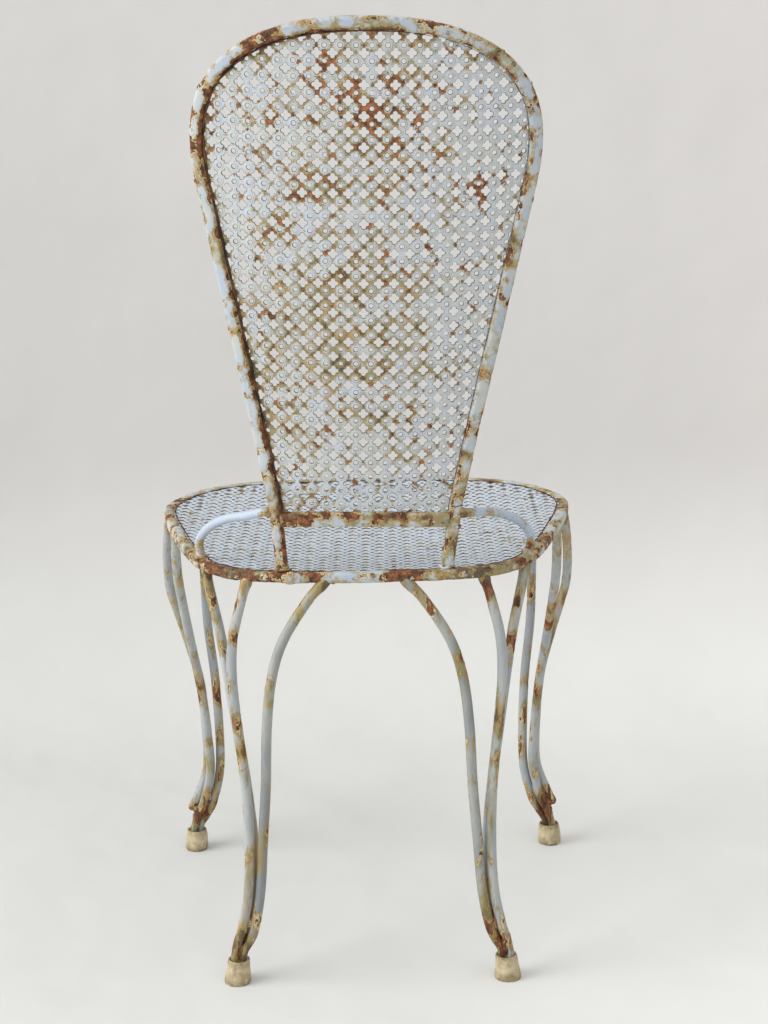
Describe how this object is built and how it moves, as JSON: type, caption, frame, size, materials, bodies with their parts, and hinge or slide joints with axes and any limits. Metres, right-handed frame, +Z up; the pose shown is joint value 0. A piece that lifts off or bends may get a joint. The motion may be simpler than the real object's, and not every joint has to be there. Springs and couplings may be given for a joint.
{
  "type": "garden chair",
  "caption": "Weathered iron garden chair with a pierced sheet back and seat in bar rims, bent rod legs, hip loops and foot caps, its paint peeling to rust.",
  "frame": {"origin": "on the floor under the middle of the chair's bounding box", "axes": "+Z up, the sitter faces -Y, +X is the sitter's left"},
  "size_m": [0.4555, 0.4859, 0.9539],
  "materials": {
    "bar_paint": "pale blue-grey paint over cream, peeling, with rust and green grime",
    "sheet_paint": "pale blue-grey paint on pierced sheet, rust bleeding round the holes",
    "rod_paint": "pale blue-grey paint on round rods, chipped to cream, rusty at the ankles",
    "cap_rubber": "dirty cream rubber, matt"
  },
  "bodies": {
    "root": {"seat_rim": "bar_paint", "back_frame": "bar_paint", "back_crossbar": "bar_paint", "seat_panel": "sheet_paint", "back_panel": "sheet_paint", "left_hip_loop": "rod_paint", "rear_left_corner_rod": "rod_paint", "rear_left_middle_rod": "rod_paint", "rear_left_side_rod": "rod_paint", "front_left_side_rod": "rod_paint", "front_left_corner_rod": "rod_paint", "front_left_rail_rod": "rod_paint", "right_hip_loop": "rod_paint", "rear_right_corner_rod": "rod_paint", "rear_right_middle_rod": "rod_paint", "rear_right_side_rod": "rod_paint", "front_right_side_rod": "rod_paint", "front_right_corner_rod": "rod_paint", "front_right_rail_rod": "rod_paint", "rear_left_foot_cap": "cap_rubber", "front_left_foot_cap": "cap_rubber", "rear_right_foot_cap": "cap_rubber", "front_right_foot_cap": "cap_rubber"}
  },
  "joints": []
}
